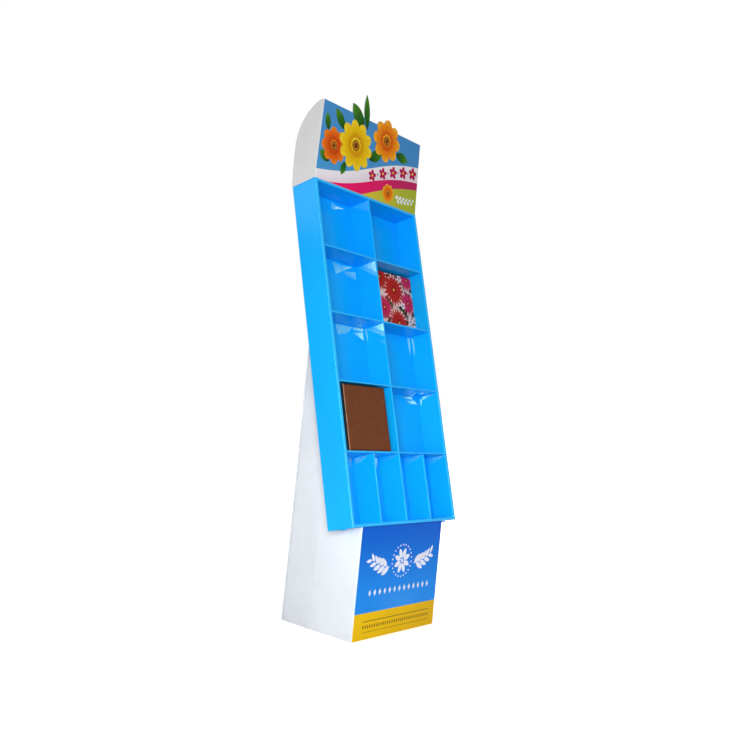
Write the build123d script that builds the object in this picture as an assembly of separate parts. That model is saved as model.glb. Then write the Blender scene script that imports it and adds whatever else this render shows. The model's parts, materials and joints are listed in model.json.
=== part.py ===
"""Cardboard display stand: a white base, a blue tray of pockets leaning back on it, and a header.

Millimetres, +Z up, front towards -Y. Every sheet is drawn by the centre line of its board and
thickened, so its folds are true folds. The stand is drawn with the foot of the base's front panel at
the origin, and moved at the end so that the origin lies under the middle of its bounding box.
The tray has axes of its own: X across, Y from its front into its depth, Z along its length.
"""
from build123d import *
import os
from math import atan, cos, degrees, radians, sin

# Tray: a folded sheet with double walls, leaning on the base
tray_width = 500.0
tray_length = 1014.0
tray_depth = 93.0
tray_lean = 15.5
tray_overhang = 12.5
tray_foot_height = 318.0
tray_board = 2.5
tray_bend = 1.6
side_flange = 11.0
bottom_flange = 9.5
top_flange = 8.0
end_flap_length = 60.0
end_flap_margin = 12.0
lock_tab_start = 35.0
lock_tab_width = 16.0
lock_tab_proud = 3.0

# Pockets: doubled boards that cross inside the tray, and the sheet behind them
rows = 5
pocket_depth = 77.0
layer_gap = 0.4
divider_setback = 1.0
leaf_tab_start = 24.0
leaf_tab_width = 30.0
side_tab_reach = 2.8
end_tab_reach = 2.0
rear_tab_width = 36.0
rear_tab_reach = 5.0
shelf_rear_tab_count = 4
back_return = 18.0

# Base: a folded sheet with a floor pan, two slotted braces and a rest for the tray
base_width = 390.0
base_depth = 268.0
base_board = 4.0
base_bend = 3.0
crease_from_rear = 115.0
crease_bulge = 4.0
glue_flap = 42.0
pan_wall = 50.0
rest_front_flap = 55.0
rest_rear_flap = 60.0
rest_side_flap = 34.0
rest_side_margin = 14.0
brace_cross_place = 150.0

# Header: one sheet with a die-cut front, two curved wings and glue flaps
header_height = 235.0
header_setback = 1.5
header_board = 2.5
header_bend = 1.6
header_fold_round = 2.3
header_taper = 8.0
header_flap = 56.0
wing_top = 17.0
wing_shoulder = 106.0
wing_swell = 8.0
wing_flap = 28.0
wing_flap_margin = 4.0

# Motifs that stand above the header's straight edge: foot (across, up), length, width and turn
leaves = (((-38.0, 200.0), 110.0, 27.0, 8.0), ((-52.0, 196.0), 92.0, 44.0, 42.0))
blossom_centre = (62.0, 196.0)
blossom_reach = 68.0
blossom_petals = 8
blossom_petal_width = 40.0
blossom_heart = 20.0

# Push rivets through the tray's back and the rest
rivet_across = 130.0
rivet_from_foot = 120.0
rivet_from_rear = 122.0
rivet_shank = 6.4
rivet_play = 0.3
rivet_head = 16.0
rivet_head_height = 1.8
rivet_tail = 10.4
rivet_tail_length = 6.0

# Cartons that stand in two pockets, alike but for their depth: the room that each leaves around it
carton_side_room = 48.3
carton_headroom = 6.2
carton_edge = 0.8
brown_row = 1
brown_left_gap = 12.3
brown_setback = 1.5
patterned_row = 3
patterned_setback = 49.0

# Clearances
fit = 0.3
slot_play = 0.4
past = 1.0

# Worked out from the sizes above
lean = radians(tray_lean)
half_tray = tray_width / 2
half_board = tray_board / 2
opening_half = half_tray - side_flange
opening_foot = bottom_flange
opening_head = tray_length - top_flange
doubled = 2 * tray_board + layer_gap
row_height = (opening_head - opening_foot - (rows - 1) * doubled) / rows
shelf_levels = [opening_foot + n * (row_height + doubled) - doubled / 2 for n in range(1, rows)]
carton_width = opening_half - doubled / 2 - carton_side_room
lap = pocket_depth / 2
wall_end = tray_depth - tray_board - fit
lock_root = 2 * (tray_board + fit)
rear_reach = pocket_depth + tray_board + rear_tab_reach
leaf_tab = (leaf_tab_start, leaf_tab_start + leaf_tab_width)
half_base = base_width / 2
base_inside = half_base - base_board
half_base_board = base_board / 2
pan_front = base_board + fit
pan_rear = base_depth - 2 * (base_board + fit)
pan_inside = base_inside - base_board - 2 * fit
rest_underside = base_board + 2 * fit


def block(x, y, z):
    """Square-cut piece between two limits along each axis."""
    middle = [(low + high) / 2 for low, high in (x, y, z)]
    return Pos(*middle) * Box(x[1] - x[0], y[1] - y[0], z[1] - z[0])


def both_sides(low, high):
    """The same stretch to the right and to the left of the middle."""
    return (low, high), (-high, -low)


def line_beside(corners, shift, bend):
    """The line that runs to the left of a bent one at a distance, with its bends rounded to match."""
    points = [Vector(*corner) for corner in corners]
    headings = [(after - before).normalized() for before, after in zip(points, points[1:])]
    sides = [Vector(-heading.Y, heading.X) for heading in headings]
    beside = []
    for point, last, following in zip(points, sides[:1] + sides, sides + sides[-1:]):
        beside.append(point + (last + following) * (shift / (1 + last.dot(following))))
    turns = [last.cross(following).Z for last, following in zip(headings, headings[1:])]
    return FilletPolyline(*beside, radius=[bend - shift if turn > 0 else bend + shift for turn in turns])


def bent_board(corners, board, bend):
    """Section of a folded board, from the corners of its centre line."""
    left = line_beside(corners, board / 2, bend)
    right = line_beside(corners, -board / 2, bend)
    return make_face([left, Line(left @ 1, right @ 1), right, Line(right @ 0, left @ 0)])


def run_up(section, bottom, top):
    """Carries a section drawn in plan from one level to another."""
    return extrude(Plane.XY.offset(bottom) * section, amount=top - bottom)


def run_across(section, left, right):
    """Carries a section drawn in depth and height from left to right."""
    return extrude(Plane.YZ.offset(left) * section, amount=right - left)


def run_back(section, front, rear):
    """Carries a section drawn in width and height from front to rear."""
    return extrude(Plane.XZ.offset(-rear) * section, amount=rear - front)


def on_tray(shape):
    """Moves a shape from the tray's own axes to its leaning place."""
    return Location((0, -tray_overhang, tray_foot_height), (-tray_lean, 0, 0)) * shape


def leaning_point(depth, length):
    """Depth and height in the stand of a point given along the tray's own axes."""
    y = -tray_overhang + depth * cos(lean) + length * sin(lean)
    z = tray_foot_height - depth * sin(lean) + length * cos(lean)
    return y, z


def level_on_end(length, y):
    """Height at y of the plane that crosses the tray square at a length."""
    depth = (y + tray_overhang - length * sin(lean)) / cos(lean)
    return leaning_point(depth, length)[1]


def level_on_slope(depth, y):
    """Height at y of the leaning plane at a depth of the tray."""
    length = (y + tray_overhang - depth * cos(lean)) / sin(lean)
    return leaning_point(depth, length)[1]


def tray_space(gap):
    """All that lies in front of the tray's back and above its foot, with a gap round the tray."""
    across = (-tray_width, tray_width)
    return on_tray(block(across, (-tray_length, tray_depth + gap), (-gap, 2 * tray_length)))


# Tray

def end_wall(flange):
    """An end wall drawn at the tray's foot: outer leaf, flange and inner leaf."""
    back = tray_depth - half_board
    leaf_front = tray_board + fit
    outer_leaf = [(leaf_front, half_board), (back, half_board), (back, flange)]
    whole = [(wall_end, flange - half_board), (half_board, flange - half_board),
             (half_board, half_board), (back, half_board), (back, flange)]
    inside = opening_half - fit
    folded = half_tray - tray_bend - half_board
    wall = run_across(bent_board(whole, tray_board, tray_bend), -inside, inside)
    wall += run_across(bent_board(outer_leaf, tray_board, tray_bend), -folded, folded)
    return wall + block((-half_tray, half_tray), (leaf_front, back - tray_bend), (0, tray_board))


def end_flaps():
    """Flaps of the side walls, tucked between the two leaves of the end wall at the foot."""
    depth = (end_flap_margin, wall_end - end_flap_margin)
    level = (tray_board + fit, 2 * tray_board + fit)
    right, left = both_sides(half_tray - end_flap_length, half_tray - half_board)
    return block(right, depth, level) + block(left, depth, level)


def lock_tabs(foot, head, play=0.0):
    """Tabs of the inner side walls through the end wall, or their slots when given play."""
    depth = (lock_tab_start - play, lock_tab_start + lock_tab_width + play)
    right, left = both_sides(opening_half - play, opening_half + tray_board + play)
    return block(right, depth, (foot, head)) + block(left, depth, (foot, head))


def tray_end(flange, proud):
    """All that closes the tray's foot, with the lock tabs standing proud below it."""
    leaves = end_wall(flange) + end_flaps()
    return leaves - lock_tabs(-past, flange, fit) + lock_tabs(-proud, lock_root)


def tab_slot(x, y, z):
    """Slot for a tab, with play on every side."""
    return block(*[(low - slot_play, high + slot_play) for low, high in (x, y, z)])


def board_at(place):
    """Limits of a doubled board about its middle."""
    return place - doubled / 2, place + doubled / 2


def end_clearance(end):
    """What the side walls and back leave free for the end wall at one end of the tray."""
    leaf = tray_board + fit
    across = (-half_tray - past, half_tray + past)
    free = block(across, (tray_board, tray_depth + past), (end - leaf, end + leaf))
    for x in both_sides(opening_half - past, opening_half + tray_board + fit):
        inner_wall = (tray_board + tray_bend, tray_depth - tray_board)
        free += block(x, inner_wall, (end - lock_root, end + lock_root))
    return free


def tray_shell():
    """The tray: side walls, end walls, flanges and back, one sheet with double walls."""
    inner = opening_half + half_board
    outer = half_tray - half_board
    back = tray_depth - half_board
    half_path = [(inner, wall_end), (inner, half_board), (outer, half_board), (outer, back)]
    corners = [(-x, y) for x, y in half_path] + half_path[::-1]
    shell = run_up(bent_board(corners, tray_board, tray_bend), 0, tray_length)
    for end in (0, tray_length):
        shell -= end_clearance(end)
    shell += tray_end(bottom_flange, lock_tab_proud)
    shell += mirror(tray_end(top_flange, 0), about=Plane.XY.offset(tray_length / 2))
    for level in shelf_levels:
        for x in both_sides(opening_half, opening_half + tray_board):
            shell -= tab_slot(x, leaf_tab, board_at(level))
    for x in (0, *small_divider_places()):
        shell -= tab_slot(board_at(x), leaf_tab, (opening_foot - tray_board, opening_foot))
    shell -= tab_slot(board_at(0), leaf_tab, (opening_head, opening_head + tray_board))
    for bore in rivet_bores():
        shell -= bore
    return on_tray(shell)


# Pockets

def even_tabs(low, high, count):
    """Limits of tabs that share a stretch evenly."""
    pitch = (high - low) / count
    middles = [low + pitch * (n + 0.5) for n in range(count)]
    return [(middle - rear_tab_width / 2, middle + rear_tab_width / 2) for middle in middles]


def gaps_between(tabs, low, high):
    """The stretches that a row of tabs leaves free."""
    edges = [low] + [edge for tab in tabs for edge in tab] + [high]
    return list(zip(edges[::2], edges[1::2]))


def shelf_rear_tabs():
    return even_tabs(-opening_half, opening_half, shelf_rear_tab_count)


def divider_rear_tabs():
    return even_tabs(opening_foot, opening_head, rows)


def small_divider_places():
    place = (opening_half + doubled / 2) / 2
    return -place, place


def doubled_section(nose):
    """Section of a board folded back on itself, its fold towards the front, in depth and height."""
    outer, inner = doubled / 2, layer_gap / 2
    turn = nose + outer
    outline = [
        Line((rear_reach, outer), (turn, outer)),
        ThreePointArc((turn, outer), (turn - outer, 0), (turn, -outer)),
        Line((turn, -outer), (rear_reach, -outer)),
        Line((rear_reach, -outer), (rear_reach, -inner)),
        Line((rear_reach, -inner), (turn, -inner)),
        Line((turn, -inner), (turn, inner)),
        Line((turn, inner), (rear_reach, inner)),
        Line((rear_reach, inner), (rear_reach, outer)),
    ]
    return make_face(outline)


def shelf(level):
    """A shelf: rear tabs through the pocket back, side tabs into the walls, a slot for the divider."""
    side_reach = opening_half + tray_board + side_tab_reach
    board = run_across(Pos(0, level) * doubled_section(0), -side_reach, side_reach)
    height = (level - doubled, level + doubled)
    beyond = rear_reach + past
    for x in gaps_between(shelf_rear_tabs(), -side_reach - past, side_reach + past):
        board -= block(x, (pocket_depth - fit, beyond), height)
    for x in both_sides(opening_half - fit, side_reach + past):
        for y in gaps_between([leaf_tab], -past, beyond):
            board -= block(x, y, height)
    low, high = board_at(0)
    board -= block((low - fit, high + fit), (-past, lap + fit), height)
    return on_tray(board)


def upright_board(place, foot, head):
    """A doubled board standing in the tray from one level to another."""
    plan = Plane(origin=(place, 0, foot), x_dir=(0, 1, 0), z_dir=(0, 0, 1))
    return extrude(plan * doubled_section(divider_setback), amount=head - foot)


def centre_divider():
    """The divider over the whole height, with a slot from behind for each shelf."""
    foot = opening_foot - tray_board - end_tab_reach
    head = opening_head + tray_board + end_tab_reach
    board = upright_board(0, foot, head)
    width = (-doubled, doubled)
    beyond = rear_reach + past
    for z in gaps_between(divider_rear_tabs(), foot - past, head + past):
        board -= block(width, (pocket_depth - fit, beyond), z)
    for z in ((foot - past, opening_foot + fit), (opening_head - fit, head + past)):
        for y in gaps_between([leaf_tab], -past, beyond):
            board -= block(width, y, z)
    for level in shelf_levels:
        low, high = board_at(level)
        board -= block(width, (lap, beyond), (low - fit, high + fit))
    return on_tray(board)


def small_divider(place):
    """A divider of the bottom row, under the lowest shelf."""
    foot = opening_foot - tray_board - end_tab_reach
    head = board_at(shelf_levels[0])[0] - fit
    board = upright_board(place, foot, head)
    width = (place - doubled, place + doubled)
    beyond = rear_reach + past
    for z in gaps_between(divider_rear_tabs()[:1], foot - past, head + past):
        board -= block(width, (pocket_depth - fit, beyond), z)
    for y in gaps_between([leaf_tab], -past, beyond):
        board -= block(width, y, (foot - past, opening_foot + fit))
    return on_tray(board)


def pocket_back():
    """The sheet behind the pockets, held off the tray's back by flaps on its four sides."""
    side = opening_half - fit - half_board
    front = pocket_depth + half_board
    foot, head = opening_foot + fit, opening_head - fit
    corners = [(-side, wall_end), (-side, front), (side, front), (side, wall_end)]
    sheet = run_up(bent_board(corners, tray_board, tray_bend), foot, head)
    inside = side - half_board - fit
    low_return = [(wall_end, foot + half_board), (front, foot + half_board), (front, foot + back_return)]
    high_return = [(wall_end, head - half_board), (front, head - half_board), (front, head - back_return)]
    for corners in (low_return, high_return):
        sheet += run_across(bent_board(corners, tray_board, tray_bend), -inside, inside)
    board = (pocket_depth, pocket_depth + tray_board)
    for level in shelf_levels:
        for x in shelf_rear_tabs():
            sheet -= tab_slot(x, board, board_at(level))
    for z in divider_rear_tabs():
        sheet -= tab_slot(board_at(0), board, z)
    for place in small_divider_places():
        sheet -= tab_slot(board_at(place), board, divider_rear_tabs()[0])
    return on_tray(sheet)


# Base

def base_shell():
    """Front, wedge-shaped sides and back of one sheet, closed by a glue flap behind the left side."""
    middle = half_base - half_base_board
    flap = base_depth - base_board - fit - half_base_board
    crease = (middle + crease_bulge, base_depth - crease_from_rear)
    corners = [
        (-base_inside + glue_flap, flap),
        (-middle, flap),
        (-crease[0], crease[1]),
        (-middle, half_base_board),
        (middle, half_base_board),
        crease,
        (middle, base_depth - half_base_board),
        (-half_base, base_depth - half_base_board),
    ]
    apex = level_on_slope(tray_depth + fit, base_depth)
    shell = run_up(bent_board(corners, base_board, base_bend), 0, apex)
    shell -= tray_space(fit)
    back_top = level_on_slope(tray_depth + fit, base_depth - base_board)
    outside = half_base + crease_bulge + past
    shell -= block((-outside, outside), (base_depth - base_board, base_depth + past), (back_top, apex + past))
    flap_top = rest_rear_foot() - fit
    shell -= block((-base_inside, base_inside), (pan_rear, base_depth - base_board), (flap_top, apex + past))
    return shell


def floor_pan():
    """The sheet that closes the foot of the base, with a wall turned up on each side."""
    side = base_inside - fit - half_base_board
    floor = half_base_board
    corners = [(-side, pan_wall), (-side, floor), (side, floor), (side, pan_wall)]
    clear = base_board + base_bend + fit
    pan = run_back(bent_board(corners, base_board, base_bend), pan_front + clear, pan_rear - clear)
    for outside, inward in ((pan_front, 1), (pan_rear, -1)):
        wall = outside + inward * half_base_board
        corners = [(wall, pan_wall), (wall, floor), (outside + inward * clear, floor)]
        pan += run_across(bent_board(corners, base_board, base_bend), -pan_inside, pan_inside)
    return pan


def rest_lines():
    """Corners of the rest's centre line: front flap, ledge, slope and rear flap, in depth and height."""
    off = fit + half_base_board
    front = base_board + off
    rear = base_depth - base_board - off
    ledge = level_on_end(-off, front)
    apex = level_on_slope(tray_depth + off, rear)
    return [(front, ledge - rest_front_flap), (front, ledge), leaning_point(tray_depth + off, -off),
            (rear, apex), (rear, apex - rest_rear_flap)]


def rest_rear_foot():
    return rest_lines()[-1][1]


def rest_panel():
    """The sheet that the tray lies on, with flaps glued inside the base."""
    side = base_inside - fit
    rest = run_across(bent_board(rest_lines(), base_board, base_bend), -side, side)
    slope = tray_depth + fit + half_base_board
    flap_end = slope + rest_side_flap
    flap_head = (pan_rear + tray_overhang - flap_end * cos(lean)) / sin(lean)
    length = (rest_side_margin, flap_head)
    fold = base_bend + half_base_board
    for x in both_sides(side - fold, side + past):
        rest -= on_tray(block(x, (tray_depth, slope + half_base_board + past), length))
    middle = side - half_base_board
    corners = [(-middle, flap_end), (-middle, slope), (middle, slope), (middle, flap_end)]
    rest += on_tray(run_up(bent_board(corners, base_board, base_bend), *length))
    for bore in rivet_bores():
        rest -= on_tray(bore)
    return rest


def brace_long():
    """The brace from front to rear, under the ledge and the slope, slotted from above."""
    clear = base_board + base_bend
    front, rear = pan_front + clear, pan_rear - clear
    corners = [
        (front, base_board),
        (rear, base_board),
        (rear, level_on_slope(tray_depth + rest_underside, rear)),
        leaning_point(tray_depth + rest_underside, -rest_underside),
        (front, level_on_end(-rest_underside, front)),
    ]
    face = make_face(Polyline(*corners, close=True))
    brace = run_across(face, -half_base_board, half_base_board)
    slot = half_base_board + fit
    return brace - block((-base_board, base_board), (brace_cross_place - slot, brace_cross_place + slot),
                         (brace_lap(), base_depth + tray_length))


def brace_cross_head():
    return level_on_slope(tray_depth + rest_underside, brace_cross_place - half_base_board)


def brace_lap():
    return (base_board + brace_cross_head()) / 2


def brace_cross():
    """The brace from side to side, slotted from below to straddle the long one."""
    depth = (brace_cross_place - half_base_board, brace_cross_place + half_base_board)
    side = pan_inside - base_bend
    brace = block((-side, side), depth, (base_board, brace_cross_head()))
    slot = half_base_board + fit
    return brace - block((-slot, slot), (depth[0] - past, depth[1] + past), (0, brace_lap() + fit))


# Rivets

def rivet_places():
    """Places across and along the tray, the upper ones measured down from the rest's rear fold."""
    slope = tray_depth + fit + half_base_board
    rear = base_depth - base_board - fit - half_base_board
    rear_fold = (rear + tray_overhang - slope * cos(lean)) / sin(lean)
    levels = (rivet_from_foot, rear_fold - rivet_from_rear)
    return [(x, length) for x in (-rivet_across, rivet_across) for length in levels]


def rivet_bores():
    """Holes for the rivets through the tray's back and the rest, in the tray's own axes."""
    through = Rot(90, 0, 0) * Cylinder(rivet_shank / 2 + rivet_play, 4 * base_board)
    return [Pos(x, tray_depth, length) * through for x, length in rivet_places()]


def rivet():
    """A push rivet with its axis along the tray's depth: head, shank and barbed tail."""
    seat = tray_depth - tray_board
    under = tray_depth + fit + base_board
    tip = under + rivet_tail_length
    outline = [(0, seat - rivet_head_height), (rivet_head / 2, seat - rivet_head_height),
               (rivet_head / 2, seat), (rivet_shank / 2, seat), (rivet_shank / 2, under),
               (rivet_tail / 2, under), (rivet_shank / 2, tip), (0, tip)]
    return revolve(make_face(Polyline(*outline, close=True)), axis=Axis.Y)


def snap_rivets():
    """The four push rivets."""
    return Compound([on_tray(Pos(x, 0, length) * rivet()) for x, length in rivet_places()])


# Header

def leaf(foot, length, width, turn):
    """A pointed leaf between two arcs, turned to the left about its foot."""
    sides = [ThreePointArc((0, 0), (side * width / 2, length / 2), (0, length)) for side in (-1, 1)]
    return Pos(*foot) * Rot(0, 0, turn) * make_face(sides)


def blossom():
    """A round blossom of long petals."""
    petal = Pos(0, (blossom_reach + blossom_heart) / 2) * Ellipse(
        blossom_petal_width / 2, (blossom_reach - blossom_heart) / 2)
    petals = [Rot(0, 0, n * 360 / blossom_petals) * petal for n in range(blossom_petals)]
    flower = Circle(blossom_heart + blossom_petal_width / 4)
    for petal in petals:
        flower += petal
    return Pos(*blossom_centre) * flower


def header():
    """The header: a die-cut front, wings with a curved rear edge and flaps glued to the tray's top."""
    edge_y, edge_z = leaning_point(0, tray_length)
    front = edge_y + header_setback
    seat = tray_length + fit
    foot = level_on_end(seat, front)
    top = edge_z + header_height
    half = half_tray
    corners = [(-half, foot - past), (half, foot - past), (half - header_taper, top), (-half + header_taper, top)]
    card = make_face(Polyline(*corners, close=True))
    for motif in [leaf(*sizes) for sizes in leaves] + [blossom()]:
        card += Pos(0, edge_z) * motif
    sheet = run_back(card, front, front + header_board)

    flap_half = half - header_board - fit
    fold = header_bend + header_board
    sheet -= block((-flap_half, flap_half), (front - past, front + header_board + past),
                   (foot - 2 * past, foot + fold))
    middle = front + header_board / 2
    centre = seat + header_board / 2
    folded = [(middle, foot + 2 * fold), (middle, level_on_end(centre, middle)),
              leaning_point(header_flap, centre)]
    sheet += run_across(bent_board(folded, header_board, header_bend), -flap_half, flap_half)

    swell = leaning_point(tray_depth, tray_length)[0] + wing_swell
    shoulder = (swell, edge_z + wing_shoulder)
    heel = leaning_point(tray_depth, seat)
    curve = [
        Line((front, foot - past), (front, top)),
        Line((front, top), (front + wing_top, top)),
        TangentArc(shoulder, (front + wing_top, top), tangent=(0, 1)),
        TangentArc(shoulder, heel, tangent=(0, -1)),
        Line(heel, (front, foot - past)),
    ]
    wing = run_across(make_face(curve), -half, -half + header_board)
    tilt = degrees(atan(header_taper / header_height))
    wing = Pos(-half, 0, foot) * Rot(0, tilt, 0) * Pos(half, 0, -foot) * wing
    flap = block((-half + header_board / 2, -half + wing_flap),
                 (header_flap + wing_flap_margin, tray_depth - wing_flap_margin), (seat, seat + header_board))
    wing += on_tray(flap)
    sheet += wing + mirror(wing, about=Plane.YZ)
    sheet -= on_tray(block((-tray_width, tray_width), (-tray_depth, 2 * tray_depth),
                           (seat - tray_board, seat)))
    in_front = sheet.edges().filter_by_position(Axis.Y, front - fit, front + fit)
    folds = in_front.filter_by(lambda edge: edge.length > wing_shoulder).sort_by(Axis.X)
    return fillet([folds[0], folds[-1]], header_fold_round)


# Cartons

def carton(left, row, setback):
    """A closed carton from a place across the tray, standing on a shelf against the pocket back."""
    foot = board_at(shelf_levels[row - 1])[1] + fit
    head = foot + row_height - fit - carton_headroom
    box = block((left, left + carton_width), (setback, pocket_depth - fit), (foot, head))
    return on_tray(chamfer(box.edges(), carton_edge))


def brown_carton():
    """The thick carton of the left column, near the tray's left wall."""
    return carton(-opening_half + brown_left_gap, brown_row, brown_setback)


def patterned_carton():
    """The thin carton of the right column, pushed against the tray's right wall."""
    return carton(opening_half - fit - carton_width, patterned_row, patterned_setback)


def build():
    """All nodes of the stand, moved so that the origin lies under the middle of its bounding box."""
    nodes = {
        "base_shell": base_shell(),
        "floor_pan": floor_pan(),
        "rest_panel": rest_panel(),
        "brace_long": brace_long(),
        "brace_cross": brace_cross(),
        "tray_shell": tray_shell(),
        "pocket_back": pocket_back(),
        "centre_divider": centre_divider(),
        "snap_rivets": snap_rivets(),
        "header": header(),
        "brown_carton": brown_carton(),
        "patterned_carton": patterned_carton(),
    }
    for number, level in enumerate(reversed(shelf_levels), start=1):
        nodes[f"shelf_{number}"] = shelf(level)
    for side, place in zip(("left", "right"), small_divider_places()):
        nodes[f"small_divider_{side}"] = small_divider(place)
    boxes = [shape.bounding_box() for shape in nodes.values()]
    shift = Pos(0, -(min(box.min.Y for box in boxes) + max(box.max.Y for box in boxes)) / 2, 0)
    return {name: shift * shape for name, shape in nodes.items()}


os.makedirs("parts", exist_ok=True)
for node, shape in build().items():
    export_step(shape, f"parts/{node}.step")
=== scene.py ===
"""Looks of the cardboard display stand: printed and laminated boards, artwork, light and camera.

Metres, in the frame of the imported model: +Z up, front towards -Y. Print is made of colour fields in
the boards' materials and of thin flat motifs, drawn in millimetres and laid on the faces that carry them.
"""
import json
from math import cos, pi, radians, sin, sqrt

import bpy
import bmesh
from mathutils import Matrix, Vector


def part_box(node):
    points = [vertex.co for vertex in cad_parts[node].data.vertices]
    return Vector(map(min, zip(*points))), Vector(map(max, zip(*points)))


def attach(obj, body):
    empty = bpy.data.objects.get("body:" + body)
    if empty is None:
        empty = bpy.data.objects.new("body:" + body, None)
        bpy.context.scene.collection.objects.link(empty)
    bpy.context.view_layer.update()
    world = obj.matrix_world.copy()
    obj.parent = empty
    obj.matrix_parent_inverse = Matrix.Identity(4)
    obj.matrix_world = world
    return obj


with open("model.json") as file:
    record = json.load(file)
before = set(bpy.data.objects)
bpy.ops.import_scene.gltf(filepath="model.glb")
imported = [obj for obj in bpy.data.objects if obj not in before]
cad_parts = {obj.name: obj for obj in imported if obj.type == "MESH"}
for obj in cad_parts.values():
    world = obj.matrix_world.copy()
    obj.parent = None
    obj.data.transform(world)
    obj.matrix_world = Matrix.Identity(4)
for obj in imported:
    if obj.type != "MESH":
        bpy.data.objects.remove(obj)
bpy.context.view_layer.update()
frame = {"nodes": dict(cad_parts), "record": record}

MM = 0.001

# Sizes of the stand that its print and finish line up with, as in the part
TRAY_LEAN = radians(15.5)
TRAY_OVERHANG = 12.5 * MM
TRAY_FOOT_HEIGHT = 318 * MM
TRAY_LENGTH = 1014 * MM
TRAY_HALF = 250 * MM
POCKET_DEPTH = 77 * MM
BOTTOM_FLANGE = 9.5 * MM
ROW_HEIGHT = 194.98 * MM
SHELF_BOARD = 5.4 * MM
BASE_HALF = 195 * MM
BASE_CREASE = 153 * MM
STRIP_HEIGHT = 74 * MM
HEADER_HEIGHT = 235 * MM
HEADER_TAPER = 8 * MM
HEADER_SETBACK = 1.5 * MM
HEADER_BOARD = 2.5 * MM
CARTON_HEIGHT = 188.48 * MM

# The header's wave: its height at the middle, its rise to one side and its bow
WAVE_HEIGHT = 92 * MM
WAVE_RISE = 66 * MM
WAVE_BOW = 9 * MM

# Pitch of the flutes of the thinner boards and of the base
B_FLUTE = 6.5 * MM
C_FLUTE = 7.5 * MM

# Specular level of the film on the printed faces and of the glossier film in the pockets
PRINT_GLEAM = 0.08
POCKET_GLEAM = 0.12

# Thickness of a layer of print and margin left round the carton's print, in millimetres
LAYER = 0.08
CARTON_MARGIN = 1.2

BASE_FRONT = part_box("base_shell")[0].y
TRAY_FOOT = Vector((0, BASE_FRONT - TRAY_OVERHANG, TRAY_FOOT_HEIGHT))
TRAY_AXES = Matrix.Translation(TRAY_FOOT) @ Matrix.Rotation(-TRAY_LEAN, 4, "X")
HEADER_EDGE = TRAY_AXES @ Vector((0, 0, TRAY_LENGTH))
HEADER_FRONT = HEADER_EDGE.y + HEADER_SETBACK


# Node helpers

def arithmetic(operation, swapped=False):
    """A method that adds the Math node for an operation on a wire and another value."""
    def work(wire, *other):
        return calc(operation, *other, wire) if swapped else calc(operation, wire, *other)
    return work


class Wire:
    """A node's output, on which plain arithmetic adds the nodes that work it out."""

    def __init__(self, socket):
        self.socket = socket
        self.tree = socket.id_data

    __add__ = __radd__ = arithmetic("ADD")
    __mul__ = __rmul__ = arithmetic("MULTIPLY")
    __sub__ = arithmetic("SUBTRACT")
    __rsub__ = arithmetic("SUBTRACT", swapped=True)
    __truediv__ = arithmetic("DIVIDE")
    __rtruediv__ = arithmetic("DIVIDE", swapped=True)
    __mod__ = arithmetic("MODULO")
    __abs__ = arithmetic("ABSOLUTE")


def put(socket, value):
    """Fills an input with a wire or a plain value."""
    if isinstance(value, Wire):
        value.tree.links.new(value.socket, socket)
    else:
        socket.default_value = value


def add(tree, kind, inputs=None, output=0, **settings):
    """Adds a node with its settings and inputs, and returns one of its outputs."""
    node = tree.nodes.new(kind)
    for label, value in settings.items():
        setattr(node, label, value)
    for label, value in (inputs or {}).items():
        put(node.inputs[label], value)
    return Wire(node.outputs[output]) if node.outputs else None


def all_outputs(wire):
    """Every output of a wire's node, by name."""
    return {socket.name: Wire(socket) for socket in wire.socket.node.outputs}


def calc(operation, *values):
    """A Math node's result, from values of which one at least is a wire."""
    tree = next(value.tree for value in values if isinstance(value, Wire))
    return add(tree, "ShaderNodeMath", dict(enumerate(values)), operation=operation)


def smaller(first, second):
    return calc("MINIMUM", first, second)


def larger(first, second):
    return calc("MAXIMUM", first, second)


def step(value, low, high, start=0.0, end=1.0):
    """Runs smoothly from start to end while value runs from low to high."""
    given = {"Value": value, "From Min": low, "From Max": high, "To Min": start, "To Max": end}
    return add(value.tree, "ShaderNodeMapRange", given, interpolation_type="SMOOTHSTEP")


def blend(share, first, second):
    """Mixes two colours."""
    return add(share.tree, "ShaderNodeMix", {0: share, 6: first, 7: second}, 2, data_type="RGBA")


def noise(vector, scale, detail=2.0, roughness=0.5, distortion=0.0):
    given = {"Scale": scale, "Detail": detail, "Roughness": roughness, "Distortion": distortion}
    return add(vector.tree, "ShaderNodeTexNoise", {"Vector": vector, **given})


def stretched(vector, scale):
    """The same vector with its three values scaled."""
    return add(vector.tree, "ShaderNodeMapping", {"Vector": vector, "Scale": scale})


def split(vector):
    """A vector's three values, by name."""
    return all_outputs(add(vector.tree, "ShaderNodeSeparateXYZ", {"Vector": vector}))


def joined(tree, x=0.0, y=0.0, z=0.0):
    """A vector from three values."""
    return add(tree, "ShaderNodeCombineXYZ", {"X": x, "Y": y, "Z": z})


def node_group(name, kind, inputs, work):
    """A new node group from its inputs, by name and kind, and a function that returns its results."""
    group = bpy.data.node_groups.new(name, kind)
    for label, sort in inputs.items():
        group.interface.new_socket(name=label, in_out="INPUT", socket_type="NodeSocket" + sort)
    given = {socket.name: Wire(socket) for socket in group.nodes.new("NodeGroupInput").outputs}
    results = work(given)
    for label in results:
        sort = "Geometry" if label == "Geometry" else "Float"
        group.interface.new_socket(name=label, in_out="OUTPUT", socket_type="NodeSocket" + sort)
    out = group.nodes.new("NodeGroupOutput")
    for label, result in results.items():
        put(out.inputs[label], result)
    return group


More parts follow.
